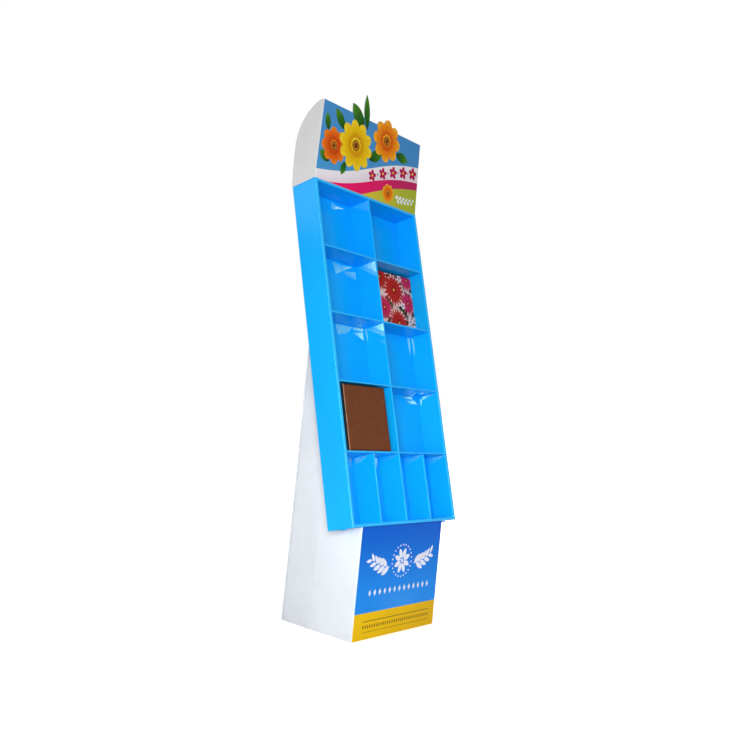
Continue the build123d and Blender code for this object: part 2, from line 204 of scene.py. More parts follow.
def shared_effect(**inputs):
    """Makes a shared effect, with these inputs, of a function of a vector and the given values."""
    def make(work):
        kinds = {label: "Vector" if value is None else "Float" for label, value in inputs.items()}
        group = node_group(work.__name__, "ShaderNodeTree", {"Vector": "Vector", **kinds},
                           lambda given: work(given["Vector"], given))
        for item in group.interface.items_tree:
            if item.in_out == "INPUT" and inputs.get(item.name) is not None:
                item.default_value = inputs[item.name]

        def place(vector, **values):
            given = {"Vector": vector, **values}
            return all_outputs(add(vector.tree, "ShaderNodeGroup", given, node_tree=group))
        return place
    return make


def rgb(red, green, blue):
    """A colour given as it is seen, 0 to 255, turned linear for the shader."""
    seen = [channel / 255 for channel in (red, green, blue)]
    return [c / 12.92 if c <= 0.04045 else ((c + 0.055) / 1.055) ** 2.4 for c in seen] + [1.0]


# Shared effects

@shared_effect(Size=1.2 * MM, Relief=0.01 * MM)
def paper_fibres(vector, given):
    """Short random fibres: a shade from 0 to 1 and a height in metres."""
    scale = 1.0 / given["Size"]
    fine = noise(vector, scale, 4.0, 0.65)
    cloudy = noise(vector, scale * 0.04, 3.0, 0.55, 0.4)
    return {"Shade": fine * 0.45 + cloudy * 0.55, "Height": fine * given["Relief"]}


@shared_effect(Across=0.0, Pitch=C_FLUTE, Relief=0.02 * MM)
def flute_lines(vector, given):
    """The faint washboard that flutes print through a liner, as a height in metres."""
    wave = calc("SINE", given["Across"] / given["Pitch"] * (2 * pi))
    patchy = step(noise(vector, 9.0), 0.3, 0.75, 0.35, 1.0)
    return {"Height": wave * patchy * given["Relief"]}


@shared_effect(Roughness=0.25, Scuffs=0.1, Waves=0.2 * MM)
def laminate(vector, given):
    """A film's gloss: roughness with dull scuffs, and the slow waves of the board under it."""
    rubbed = step(noise(vector, 38.0, 5.0, 0.7, 1.5), 0.52, 0.74)
    haze = noise(vector, 5.0, 3.0, 0.6)
    return {"Roughness": haze * 0.06 + rubbed * given["Scuffs"] + given["Roughness"],
            "Height": noise(vector, 8.0, 2.0, 0.4, 0.6) * given["Waves"]}


@shared_effect(Distance=1.0, Width=1.5 * MM)
def fold_rub_and_highlight(vector, given):
    """Rubbing along a fold or an edge, from the distance to it: a broken mask from 0 to 1. Where it paints
    paler, as on the blue board, it is partly a painted highlight.
    """
    near = step(given["Distance"] / given["Width"], 0.35, 1.0, 1.0, 0.0)
    return {"Mask": near * step(noise(vector, 110.0, 4.0, 0.7), 0.42, 0.62)}


@shared_effect(Share=0.0, Relief=0.6 * MM)
def film_crinkle(vector, given):
    """Crinkles of a film that doesn't lie flat, as a height in metres where its share is above 0."""
    ridge = abs(noise(vector, 26.0, 2.0, 0.45, 1.2) - 0.5)
    return {"Height": ridge * given["Share"] * given["Relief"]}


@shared_effect(Spot=None, Reach=30 * MM, Strength=1.0)
def crumple_spot(vector, given):
    """How much the film crumples round a spot, from its strength in the middle to 0 at its reach."""
    spot = {0: vector, 1: given["Spot"]}
    away = add(vector.tree, "ShaderNodeVectorMath", spot, "Value", operation="DISTANCE")
    return {"Share": step(away / given["Reach"], 0.45, 1.0, 1.0, 0.0) * given["Strength"]}


@shared_effect(Depth=0.06)
def print_grain(vector, given):
    """The slight unevenness of printed ink: a shade close to 1."""
    both = noise(vector, 420.0, 3.0, 0.6) * 0.5 + noise(vector, 14.0) * 0.5
    return {"Shade": 1.0 - both * given["Depth"]}


# Materials

def make_material(name, finish, *colours):
    """A material with a Principled BSDF, finished by a function of its shader and colours."""
    material = bpy.data.materials.new(name)
    material.use_nodes = True
    finish(material.node_tree.nodes["Principled BSDF"], *colours)
    return material


def object_vector(shader):
    """Object coordinates as a vector."""
    return add(shader.id_data, "ShaderNodeTexCoord", output="Object")


def object_place(shader):
    """Object coordinates: the vector and its three values."""
    vector = object_vector(shader)
    return vector, split(vector)


def tray_place(shader):
    """Coordinates in the tray's own axes: the vector and its three values."""
    given = {"Vector": object_vector(shader), "Location": TRAY_FOOT, "Rotation": (-TRAY_LEAN, 0, 0)}
    turned = add(shader.id_data, "ShaderNodeMapping", given, vector_type="TEXTURE")
    return turned, split(turned)


def bump(shader, *heights):
    """Feeds the sum of some heights, in metres, to the shader's normal."""
    given = {"Height": sum(heights[1:], heights[0]), "Distance": 1.0, "Strength": 1.0}
    put(shader.inputs["Normal"], add(shader.id_data, "ShaderNodeBump", given))


def tinted(colour, shade):
    """A colour scaled by a shade."""
    return add(shade.tree, "ShaderNodeVectorMath", {0: colour, "Scale": shade}, operation="SCALE")


def lay_film(shader, vector, gloss, gleam, waves, *heights):
    """A film over the surface: its roughness, specular level and waves, over any other heights."""
    film = laminate(vector, Roughness=gloss, Waves=waves)
    put(shader.inputs["Roughness"], film["Roughness"])
    shader.inputs["Specular IOR Level"].default_value = gleam
    bump(shader, film["Height"], *heights)


def finish_board(shader, vector, colour, across, pitch, gloss, waves, relief, gleam=PRINT_GLEAM, *heights):
    """The surface that all boards share: fibres, flute lines and film."""
    fibres = paper_fibres(vector)
    put(shader.inputs["Base Color"], tinted(colour, step(fibres["Shade"], 0.3, 0.7, 0.965, 1.0)))
    lines = flute_lines(vector, Across=across, Pitch=pitch, Relief=relief)
    lay_film(shader, vector, gloss, gleam, waves, fibres["Height"], lines["Height"], *heights)


def pocket_ceiling(row):
    """How far a row's ceiling is from the tray's foot, rows counted from below."""
    return BOTTOM_FLANGE + row * (ROW_HEIGHT + SHELF_BOARD) + ROW_HEIGHT


# Where the film crumples in the pockets: across, depth, distance below the ceiling, row, reach and strength
CRUMPLES = ((-72, 77, 12, 4, 34, 0.7), (-70, 77, 22, 3, 58, 0.55), (-3, 26, 16, 3, 34, 0.7),
            (-84, 77, 10, 2, 62, 0.6), (-26, 77, 30, 2, 34, 1.0), (-3, 22, 16, 2, 34, 1.0),
            (-44, 46, 0, 2, 30, 0.5), (234, 77, 26, 2, 22, 0.9), (212, 77, 18, 1, 34, 1.0),
            (238, 62, 18, 1, 20, 0.9), (222, 58, 0, 1, 22, 0.8), (-134, 77, 16, 0, 16, 0.8),
            (-14, 77, 22, 0, 18, 0.9))


def crumpled(vector):
    """The film's crumpling over the whole tray, from 0 to 1."""
    share = None
    for x, y, below, row, reach, strength in CRUMPLES:
        spot = (x * MM, y * MM, pocket_ceiling(row) - below * MM)
        near = crumple_spot(vector, Spot=spot, Reach=reach * MM, Strength=strength)["Share"]
        share = larger(share, near) if share else near
    return share


def blue_board(shader):
    """Blue laminated board of the tray, the shelves and the dividers, with a painted highlight along its
    front edges.
    """
    vector, place = tray_place(shader)
    colour = blend(step(noise(vector, 1.6), 0.3, 0.7), rgb(9, 170, 250), rgb(15, 180, 254))
    corner = larger(TRAY_HALF - abs(place["X"]), place["Y"])
    rub_and_highlight = fold_rub_and_highlight(vector, Distance=corner, Width=2.4 * MM)
    # partly fold wear, partly painted highlight: paler blue broken along the tray's outer front corners
    colour = blend(rub_and_highlight["Mask"] * 0.3, colour, rgb(150, 226, 255))
    # painted highlight: a paler band over the front edges of the tray and the shelves' noses
    colour = blend(step(place["Y"], 0.4 * MM, 2.2 * MM, 0.22, 0.0), colour, rgb(96, 222, 255))
    crinkle = film_crinkle(vector, Share=crumpled(vector), Relief=3 * MM)
    finish_board(shader, vector, colour, place["X"], B_FLUTE, 0.14, 0.25 * MM, 0.008 * MM, POCKET_GLEAM,
                 crinkle["Height"])


def base_print(place):
    """Colours of the base's front: blue that deepens upwards, with a glow low down, over a yellow strip."""
    height = place["Z"]
    colour = blend(step(height, STRIP_HEIGHT, TRAY_FOOT_HEIGHT), rgb(30, 144, 240), rgb(0, 94, 202))
    across = (place["X"] - 10 * MM) / (150 * MM)
    rise = (height - 90 * MM) / (60 * MM)
    spread = calc("SQRT", across * across + rise * rise)
    colour = blend(step(spread, 0.0, 1.0, 0.35, 0.0), colour, rgb(78, 160, 244))
    yellow = blend(step(place["X"], -BASE_HALF, BASE_HALF), rgb(244, 198, 6), rgb(232, 184, 8))
    strip = step(height, STRIP_HEIGHT - 0.2 * MM, STRIP_HEIGHT + 0.2 * MM, 1.0, 0.0)
    return blend(strip, colour, yellow)


def white_board(shader):
    """White board of the base, printed on its front, scuffed at its foot and softly creased."""
    vector, place = object_place(shader)
    white = blend(step(noise(vector, 6.0, 3.0), 0.35, 0.7), rgb(233, 237, 242), rgb(227, 230, 236))
    scuffs = step(noise(stretched(vector, (18, 18, 90)), 1.0, 5.0, 0.7, 0.6), 0.45, 0.7)
    foot = step(place["Z"], 0.0, 34 * MM, 1.0, 0.0)
    white = blend(foot * scuffs * 0.3, white, rgb(176, 172, 166))
    edge = BASE_HALF - 0.8 * MM
    inside = step(abs(place["X"]), edge - 0.2 * MM, edge + 0.2 * MM, 1.0, 0.0)
    behind = place["Y"] - BASE_FRONT
    colour = blend(inside * step(behind, 0.4 * MM, 0.8 * MM, 1.0, 0.0), white, base_print(place))
    rub_and_highlight = fold_rub_and_highlight(vector, Distance=larger(BASE_HALF - abs(place["X"]), behind), Width=1.8 * MM)
    colour = blend(rub_and_highlight["Mask"] * 0.5, colour, rgb(206, 200, 190))
    crease = larger(behind - BASE_CREASE, 0.0) * -0.05
    finish_board(shader, vector, colour, place["X"] + place["Y"], C_FLUTE, 0.34, 0.6 * MM, 0.02 * MM,
                 PRINT_GLEAM, crease)


def header_print(place):
    """Colours of the header's front: sky, a pale wave over a magenta one, and a yellow-green field."""
    across = place["X"] / TRAY_HALF
    height = place["Z"] - HEADER_EDGE.z
    crest = across * WAVE_RISE + WAVE_HEIGHT + calc("SINE", across * pi) * WAVE_BOW
    below = crest - height
    colour = blend(step(height, 0.0, HEADER_HEIGHT), rgb(72, 150, 204), rgb(70, 138, 196))
    pale = blend(step(below, 0.0, 40 * MM), rgb(236, 230, 234), rgb(228, 214, 222))
    magenta = blend(step(across, -0.6, 1.0), rgb(234, 20, 100), rgb(188, 36, 94))
    field = blend(step(across, -0.4, 0.9), rgb(218, 192, 56), rgb(168, 180, 54))
    bands = ((0.0, pale), (across * (10 * MM) + 42 * MM, magenta), (across * (-2 * MM) + 78 * MM, field))
    soft = 0.25 * MM
    for edge, shade in bands:
        colour = blend(step(below - edge, -soft, soft), colour, shade)
    return colour


def header_board(shader):
    """White board of the header, printed on its front; its white is painted greyer than the base's as painted
    shade.
    """
    vector, place = object_place(shader)
    # painted shade: the header's white is set a darker grey than the base's white board
    white = blend(step(noise(vector, 6.0, 3.0), 0.35, 0.7), rgb(213, 213, 213), rgb(206, 206, 207))
    front = step(place["Y"], HEADER_FRONT + 0.3 * MM, HEADER_FRONT + 0.5 * MM, 1.0, 0.0)
    colour = blend(front, white, header_print(place))
    finish_board(shader, vector, colour, place["X"], B_FLUTE, 0.28, 0.4 * MM, 0.012 * MM)


def inner_board(shader):
    """Unprinted board of the pieces inside the base."""
    vector, place = object_place(shader)
    colour = blend(noise(vector, 30.0, 4.0), rgb(214, 196, 164), rgb(196, 174, 140))
    finish_board(shader, vector, colour, place["X"], C_FLUTE, 0.75, 0.3 * MM, 0.04 * MM, 0.5)


def carton_frame(place, node):
    """Distances of a place in the tray's axes from a carton's left side and from the nearest other edge."""
    low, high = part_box(node)
    middle = (TRAY_AXES.inverted() @ ((low + high) / 2)).z
    foot = place["Z"] - (middle - CARTON_HEIGHT / 2)
    head = middle + CARTON_HEIGHT / 2 - place["Z"]
    return place["X"] - low.x, smaller(high.x - place["X"], smaller(foot, head))


def brown_print(shader):
    """The plain brown carton, with painted shade as a dark rim round its front and on its sides, and a pale
    line down its left edge that is partly rubbed-off colour and partly a painted highlight.
    """
    vector, place = tray_place(shader)
    mottle = step(noise(vector, 70.0, 5.0, 0.7), 0.35, 0.65)
    colour = blend(mottle, rgb(104, 58, 33), rgb(112, 64, 39))
    blotch = step(noise(vector, 20.0, 4.0, 0.65, 0.8), 0.45, 0.72)
    colour = blend(blotch * 0.5, colour, rgb(124, 62, 26))
    left, others = carton_frame(place, "brown_carton")
    # painted shade: a dark rim round the front's top, bottom and right, dark on the faces there
    colour = blend(step(others, 1.5 * MM, 5 * MM, 0.85, 0.0), colour, rgb(52, 36, 26))
    # partly rubbed-off colour, partly painted highlight: a pale line down the carton's left edge
    patchy = step(noise(vector, 46.0, 4.0, 0.7), 0.28, 0.5, 0.5, 1.0)
    worn_and_highlight = step(left, 2.4 * MM, 4.2 * MM, 1.0, 0.0) * patchy
    colour = blend(worn_and_highlight * 0.9, colour, rgb(186, 146, 118))
    # painted shadow: dark teal on the left side, standing in for the shaded gap beside the carton
    colour = blend(step(left, 0.3 * MM, 0.7 * MM, 1.0, 0.0), colour, rgb(30, 44, 50))
    finish_board(shader, vector, colour, place["X"], B_FLUTE, 0.34, 0.2 * MM, 0.004 * MM)


def patterned_print(shader):
    """The patterned carton's pale ground under its flowers, with printed shadows of foliage, and painted
    shade as a dark rim round its front and on its sides.
    """
    vector, place = tray_place(shader)
    cloud = step(noise(vector, 34.0, 3.0, 0.6, 1.0), 0.35, 0.65)
    colour = blend(cloud, rgb(238, 212, 206), rgb(222, 176, 172))
    colour = blend(step(noise(vector, 27.0, 4.0, 0.6, 0.9), 0.53, 0.6), colour, rgb(74, 60, 34))
    colour = blend(step(noise(vector, 40.0, 3.0, 0.6, 0.4), 0.57, 0.64), colour, rgb(40, 14, 18))
    # painted shade: a dark rim round the front's edges, darkest on the side faces
    edge = smaller(*carton_frame(place, "patterned_carton"))
    colour = blend(step(edge, 0.8 * MM, 3 * MM, 0.75, 0.0), colour, rgb(90, 24, 34))
    colour = blend(step(edge, 0.3 * MM, 0.7 * MM, 1.0, 0.0), colour, rgb(44, 24, 40))
    finish_board(shader, vector, colour, place["X"], B_FLUTE, 0.22, 0.2 * MM, 0.004 * MM)


def rivet_plastic(shader):
    """White moulded plastic of the push rivets."""
    grain = noise(object_vector(shader), 1400.0, 3.0, 0.6)
    put(shader.inputs["Base Color"], blend(grain, rgb(226, 226, 224), rgb(236, 236, 234)))
    put(shader.inputs["Roughness"], step(grain, 0.2, 0.8, 0.38, 0.5))
    bump(shader, grain * (0.01 * MM))


FINISHES = (white_board, inner_board, blue_board, header_board, brown_print, patterned_print, rivet_plastic)
MATERIALS = {finish.__name__: make_material(finish.__name__, finish) for finish in FINISHES}


# Inks of the motifs, film and paper

def print_under_film(shader, colour):
    """Printed ink with its grain, under film."""
    vector = object_vector(shader)
    grain = print_grain(vector, Depth=0.1)
    put(shader.inputs["Base Color"], tinted(colour, grain["Shade"]))
    lay_film(shader, vector, 0.28, PRINT_GLEAM, 0.3 * MM)


def plain_ink(shader, colour):
    """Ink of one colour."""
    print_under_film(shader, colour[:3])


def petal_ink(shader, root, middle, tip):
    """Ink of a petal or leaf: three shades from root to tip, with veins that fan along it."""
    chart = add(shader.id_data, "ShaderNodeUVMap", uv_map="shape")
    place = split(chart)
    colour = blend(step(place["Y"], 0.0, 0.45), root, middle)
    colour = blend(step(place["Y"], 0.45, 1.0), colour, tip)
    streaks = noise(stretched(chart, (16, 1.6, 1)), 1.0, 3.0, 0.6, 0.3)
    colour = blend(step(streaks, 0.5, 0.68, 0.0, 0.45), colour, root)
    colour = blend(step(abs(place["X"] - 0.5), 0.0, 0.05, 0.4, 0.0), colour, root)
    print_under_film(shader, colour)


def painted_glint_film(shader):
    """Painted glints on crumpled film that has come off the board, fading with its facets' own glow."""
    vector = object_vector(shader)
    glow = add(vector.tree, "ShaderNodeAttribute", output="Fac", attribute_name="glow")
    # painted glints: pale cyan that stands in for reflections of the light, fading with the facets' glow
    put(shader.inputs["Base Color"], blend(glow, rgb(60, 226, 255), rgb(190, 255, 255)))
    patchy = step(noise(vector, 130.0, 3.0, 0.6), 0.3, 0.6, 0.7, 1.0)
    put(shader.inputs["Alpha"], smaller(glow * 1.3 * patchy, 1.0))
    lay_film(shader, vector, 0.12, POCKET_GLEAM, 0.3 * MM)


def cut_edge_paper(shader):
    """Bare paper of the flutes that show along a cut edge."""
    fibres = paper_fibres(object_vector(shader), Size=0.6 * MM)
    colour = blend(step(fibres["Shade"], 0.3, 0.7), rgb(190, 170, 142), rgb(214, 200, 178))
    put(shader.inputs["Base Color"], colour)
    put(shader.inputs["Roughness"], step(fibres["Shade"], 0.2, 0.8, 0.85, 0.95))
    bump(shader, fibres["Height"])


# Shades of each ink as they are seen: three from root to tip for petals and leaves, one for plain inks
SHADES = {
    "orange_petal": ((204, 82, 8), (238, 136, 14), (252, 190, 44)),
    "yellow_petal": ((206, 140, 6), (232, 190, 10), (246, 218, 48)),
    "amber_petal": ((190, 62, 10), (226, 98, 16), (240, 142, 28)),
    "green_leaf": ((20, 66, 16), (44, 104, 26), (88, 146, 44)),
    "red_petal": ((112, 8, 14), (176, 24, 24), (206, 54, 40)),
    "crimson_petal": ((128, 6, 40), (190, 20, 74), (224, 66, 110)),
    "dark_leaf": ((14, 34, 14), (34, 64, 26), (70, 96, 44)),
    "pale_petal": ((206, 176, 184), (232, 216, 220), (246, 240, 242)),
    "white_ink": ((236, 240, 250),),
    "magenta_ink": ((184, 22, 84),),
    "ochre_ink": ((120, 92, 14),),
    "brown_ink": ((118, 52, 8),),
    "gold_ink": ((236, 184, 60),),
}
INKS = {name: make_material(name, petal_ink if len(shades) > 1 else plain_ink,
                            *(rgb(*shade) for shade in shades)) for name, shades in SHADES.items()}
INKS["cut_edge_paper"] = make_material("cut_edge_paper", cut_edge_paper)
INKS["painted_glint_film"] = make_material("painted_glint_film", painted_glint_film)


# Flat shapes, in millimetres

def plate(outline):
    """A closed plate one layer thick from its outline, drawn anticlockwise and charted in a UV map."""
    mesh = bpy.data.meshes.new("shape")
    shape = bmesh.new()
    chart = shape.loops.layers.uv.new("shape")
    low = [shape.verts.new((x, y, 0)) for x, y in outline]
    high = [shape.verts.new((x, y, LAYER)) for x, y in outline]
    shape.faces.new(high)
    shape.faces.new(low[::-1])
    for n in range(len(outline)):
        shape.faces.new((low[n - 1], low[n], high[n], high[n - 1]))
    foot = min(y for x, y in outline)
    length = max(y for x, y in outline) - foot
    width = 2 * max(abs(x) for x, y in outline)
    for face in shape.faces:
        for loop in face.loops:
            loop[chart].uv = (loop.vert.co.x / width + 0.5, (loop.vert.co.y - foot) / length)
    shape.to_mesh(mesh)
    shape.free()
    return mesh


def oval(start, reach, width, corners=28):
    """Outline of an oval petal that runs up from start to reach."""
    middle, half = (start + reach) / 2, (reach - start) / 2
    turns = [2 * pi * n / corners for n in range(corners)]
    return [(width / 2 * sin(-turn), middle - half * cos(turn)) for turn in turns][::-1]


def pointed(length, width, corners=12, foot=0.0):
    """Outline of a leaf between two arcs, pointed at both ends, that runs up from its foot."""
    half = width / 2
    radius = (length * length / 4 + half * half) / (2 * half)
    rows = [length * n / corners for n in range(corners + 1)]
    arc = [(sqrt(max(radius * radius - (y - length / 2) ** 2, 0)) - (radius - half), foot + y) for y in rows]
    return arc + [(-x, y) for x, y in arc[-2:0:-1]]


def disc(radius, corners=36, up=0.0):
    """Outline of a disc, some way up from the origin."""
    turns = [2 * pi * n / corners for n in range(corners)]
    return [(radius * cos(turn), radius * sin(turn) + up) for turn in turns]


def diamond(width, height):
    """Outline of a diamond round the origin."""
    return [(width / 2, 0), (0, height / 2), (-width / 2, 0), (0, -height / 2)]


# Geometry Nodes that repeat a shape

def growing(inputs):
    """Makes a Geometry Nodes group, with these inputs, of a function that grows something in its tree."""
    def make(work):
        kinds = {"Geometry": "Geometry", "Count": "Int", "Ink": "Material"}

        def finish(given):
            ink = given["Ink"]
            grown = add(ink.tree, "GeometryNodeRealizeInstances", {"Geometry": work(ink.tree, given)})
            grown = add(ink.tree, "GeometryNodeSetMaterial", {"Geometry": grown, "Material": ink})
            return {"Geometry": grown}
        sockets = {label: kinds.get(label, "Float") for label in ("Geometry", *inputs.split(), "Ink")}
        return node_group(work.__name__, "GeometryNodeTree", sockets, finish)
    return make


def place_copies(given, place, turn, size):
    """Puts the given shape on as many points as counted, each at its place, turned and sized."""
    tree = place.tree
    points = add(tree, "GeometryNodePoints", {"Count": given["Count"], "Position": place})
    copies = {"Points": points, "Instance": given["Geometry"], "Rotation": turn, "Scale": size}
    return add(tree, "GeometryNodeInstanceOnPoints", copies)


def bent_strip(tree, length, count, width, height, path):
    """A strip of even section along a line, bent by a function of the run along it."""
    line = add(tree, "GeometryNodeCurvePrimitiveLine", {"End": joined(tree, length)})
    line = add(tree, "GeometryNodeResampleCurve", {"Curve": line, "Count": count})
    run = split(add(tree, "GeometryNodeInputPosition"))["X"]
    bent = add(tree, "GeometryNodeSetPosition", {"Geometry": line, "Position": path(run)})
    section = add(tree, "GeometryNodeCurvePrimitiveQuadrilateral", {"Width": width, "Height": height})
    return add(tree, "GeometryNodeCurveToMesh", {"Curve": bent, "Profile Curve": section, "Fill Caps": True})


@growing("Count Turn Rise")
def petal_ring(tree, given):
    """Repeats a petal round a centre; every second one lies a layer higher."""
    index = add(tree, "GeometryNodeInputIndex")
    turn = index / given["Count"] * (2 * pi) + given["Turn"]
    return place_copies(given, joined(tree, z=index % 2.0 * given["Rise"]), joined(tree, z=turn), (1, 1, 1))


@growing("Count Start End Height Slope Bow Span Growth")
def row_along_wave(tree, given):
    """Repeats a shape along a wavy line: a straight slope with a bow, growing or shrinking on the way."""
    share = add(tree, "GeometryNodeInputIndex") / (given["Count"] - 1.0)
    x = share * (given["End"] - given["Start"]) + given["Start"]
    across = x / given["Span"]
    y = across * given["Slope"] + calc("SINE", across * pi) * given["Bow"] + given["Height"]
    size = share * given["Growth"] + 1.0
    return place_copies(given, joined(tree, x, y), (0, 0, 0), joined(tree, size, size, 1.0))


@growing("Count Length Arch Spread Shrink Stem Thickness")
def leaf_spray(tree, given):
    """Leaves that alternate along a bowed stem and shrink towards its end."""
    length, arch = given["Length"], given["Arch"]
    index = add(tree, "GeometryNodeInputIndex")
    share = (index + 0.6) / given["Count"]
    heading = calc("ARCTAN2", share * arch * 2.0, length) - pi / 2
    turn = (index % 2.0 * -2.0 + 1.0) * given["Spread"] + heading
    size = 1.0 - share * given["Shrink"]
    leaves = place_copies(given, joined(tree, share * length, share * share * arch), joined(tree, z=turn),
                          joined(tree, size, size, 1.0))
    half = given["Thickness"] * 0.5
    stem = bent_strip(tree, length, 18, given["Thickness"], given["Stem"],
                      lambda run: joined(tree, run, run / length * (run / length) * arch, half))
    both = add(tree, "GeometryNodeJoinGeometry", {0: stem})
    put(both.socket.node.inputs[0], leaves)
    return both


@growing("Length Pitch Height Paper Proud")
def fluting(tree, given):
    """A wave of fluting paper along a straight cut edge, standing slightly proud of it."""
    count = calc("CEIL", given["Length"] / given["Pitch"] * 10.0)
    return bent_strip(tree, given["Length"], count, given["Proud"], given["Paper"], lambda run: joined(
        tree, run, calc("SINE", run / given["Pitch"] * (2 * pi)) * given["Height"]))


def new_object(name, data):
    """A new object that is in the scene."""
    made = bpy.data.objects.new(name, data)
    bpy.context.scene.collection.objects.link(made)
    return made


def grow(group, source, ink, **values):
    """Runs a Geometry Nodes group on a mesh, its inputs set by name, and returns the plain mesh."""
    holder = new_object("holder", source or bpy.data.meshes.new("nothing"))
    modifier = holder.modifiers.new("growth", "NODES")
    modifier.node_group = group
    values["Ink"] = INKS[ink]
    for item in group.interface.items_tree:
        if item.in_out == "INPUT" and item.name in values:
            modifier[item.identifier] = values[item.name]
    graph = bpy.context.evaluated_depsgraph_get()
    mesh = bpy.data.meshes.new_from_object(holder.evaluated_get(graph))
    bpy.data.objects.remove(holder)
    return mesh


def ring_of(petal, ink, count, turn=0.0, rise=0.0):
    """A petal repeated round a centre."""
    return grow(petal_ring, petal, ink, Count=count, Turn=turn, Rise=rise)


def row_of(shape, ink, count, start, end, height, slope=0.0, bow=0.0, growth=0.0):
    """A shape repeated along a line that may slope and bow."""
    return grow(row_along_wave, shape, ink, Count=count, Start=start, End=end, Height=height,
                Slope=slope, Bow=bow, Span=TRAY_HALF / MM, Growth=growth)


def spray_of(leaf, ink, count, length, arch, spread, shrink, stem):
    """Leaves along a bowed stem."""
    return grow(leaf_spray, leaf, ink, Count=count, Length=float(length), Arch=float(arch), Spread=spread,
                Shrink=shrink, Stem=float(stem), Thickness=LAYER)


# Faces that carry motifs

# Turns a drawing's millimetres into metres
MM_SCALE = Matrix.Diagonal((MM, MM, MM, 1))


def face_plane(origin, up, outwards):
    """The matrix that lays a flat drawing on a face of the stand: across, up and outwards."""
    columns = Matrix((Vector(up).cross(Vector(outwards)), Vector(up), Vector(outwards))).transposed().to_4x4()
    return Matrix.Translation(origin) @ columns


def tray_plane(origin, up, outwards):
    """The matrix that lays a flat drawing on a face inside the tray, given in the tray's own axes."""
    turn = TRAY_AXES.to_3x3()
    return face_plane(TRAY_AXES @ Vector(origin), turn @ Vector(up), turn @ Vector(outwards))


def carton_face(node):
    """The front face of a carton, from the middle of the front."""
    low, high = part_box(node)
    solid = frame["nodes"][node]
    places = [TRAY_AXES.inverted() @ solid.matrix_world @ vertex.co for vertex in solid.data.vertices]
    levels = [place.z for place in places]
    origin = ((low.x + high.x) / 2, min(place.y for place in places), (min(levels) + max(levels)) / 2)
    return tray_plane(origin, (0, 0, 1), (0, -1, 0))


# The printed face of each board that carries motifs
PRINTED_FACES = {
    "header_board": face_plane((0, HEADER_FRONT, HEADER_EDGE.z), (0, 0, 1), (0, -1, 0)),
    "white_board": face_plane((0, BASE_FRONT, 0), (0, 0, 1), (0, -1, 0)),
    "patterned_print": carton_face("patterned_carton"),
}


def add_piece(name, mesh):
    """Makes a mesh a piece of the stand."""
    piece = new_object(name, mesh)
    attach(piece, "root")


def lay(name, mesh, slot, centre=(0, 0), turn=0, layer=0, ink=None):
    """Lays a flat mesh, drawn in millimetres, on a board's printed face as a piece of the stand."""
    drawing = Matrix.Translation((*centre, layer * LAYER)) @ Matrix.Rotation(radians(turn), 4, "Z")
    mesh.transform(PRINTED_FACES[slot] @ MM_SCALE @ drawing)
    if ink:
        mesh.materials.append(INKS[ink])
    add_piece(name, mesh)


# Header artwork

# Leaves, each by its foot, length, width, turn and layer: the two that stand above the header's die-cut
# edge, as in the part, and more round the blossoms
TALL_LEAVES = (((-38, 200), 110, 27, 8, 1), ((-52, 196), 92, 44, 42, 0))
LOW_LEAVES = (((-140, 172), 70, 32, 42, 0), ((-14, 116), 70, 36, -58, 0), ((-196, 62), 48, 30, 64, 0),
              ((116, 168), 66, 32, -96, 0), ((-124, 78), 44, 24, 160, 0), ((-212, 150), 52, 24, 12, 0))

# Blossoms: centre, reach, petals, width, heart, ink, layer, turn. The orange one stands above the edge too.
BLOSSOMS = {
    "amber_blossom": ((-182, 112), 55, 8, 34, 17, "amber_petal", 2, 8),
    "yellow_blossom": ((-84, 140), 78, 10, 38, 23, "yellow_petal", 7, 12),
    "orange_blossom": ((62, 196), 68, 8, 40, 20, "orange_petal", 12, 0),
    "field_blossom": ((94, 35), 30, 8, 19, 9, "orange_petal", 3, 20),
}


def header_leaves():
    """Green leaves: the two that stand above the header's edge, and more round the blossoms."""
    for kind, leaves, corners in (("tall", TALL_LEAVES, 16), ("low", LOW_LEAVES, 14)):
        for n, (foot, length, width, turn, layer) in enumerate(leaves, 1):
            leaf = plate(pointed(length, width, corners))
            lay(f"{kind}_leaf_{n}", leaf, "header_board", foot, turn, layer, "green_leaf")


def header_blossoms():
    """Blossoms of one ring of petals over a round ground, each with a heart and its dots."""
    for name, (centre, reach, petals, width, heart, ink, layer, turn) in BLOSSOMS.items():
        dot = plate(disc(heart * 0.085, 12, heart * 0.48))
        parts = (("ground", plate(disc(heart + width / 4)), 0, ink),
                 ("petals", ring_of(plate(oval(heart, reach, width)), ink, petals, rise=LAYER), 1, None),
                 ("heart", plate(disc(heart * 0.72)), 3, "brown_ink"),
                 ("dots", ring_of(dot, "gold_ink", 12, turn=0.1), 4, None))
        for part, mesh, above, shade in parts:
            lay(f"{name}_{part}", mesh, "header_board", centre, turn, layer + above, shade)


def header_florets():
    """Magenta florets with gold hearts along the pale wave, and a pale sprig on the field under it."""
    wave = {"height": 68.0, "slope": WAVE_RISE / MM, "bow": WAVE_BOW / MM}
    line = {"count": 5, "start": 8.0, "end": 214.0, "growth": 0.12, **wave}
    floret = ring_of(plate(oval(3, 19, 12.5, 20)), "magenta_ink", 5)
    lay("magenta_florets", row_of(floret, "magenta_ink", **line), "header_board")
    lay("floret_hearts", row_of(plate(disc(4.2, 16)), "gold_ink", **line), "header_board", layer=1)
    dots = row_of(plate(disc(3, 12)), "magenta_ink", count=4, start=34.0, end=188.0, **wave)
    lay("magenta_dots", dots, "header_board")
    sprig = spray_of(plate(pointed(19, 10, 8)), "white_ink", count=11, length=98, arch=12, spread=0.75,
                     shrink=0.3, stem=1.4)
    lay("pale_sprig", sprig, "header_board", (130, 28), -2)


# Base artwork

# Middle of the base's artwork across and of its rosette above the floor
BASE_MIDDLE = 4
ROSETTE_HEIGHT = 208


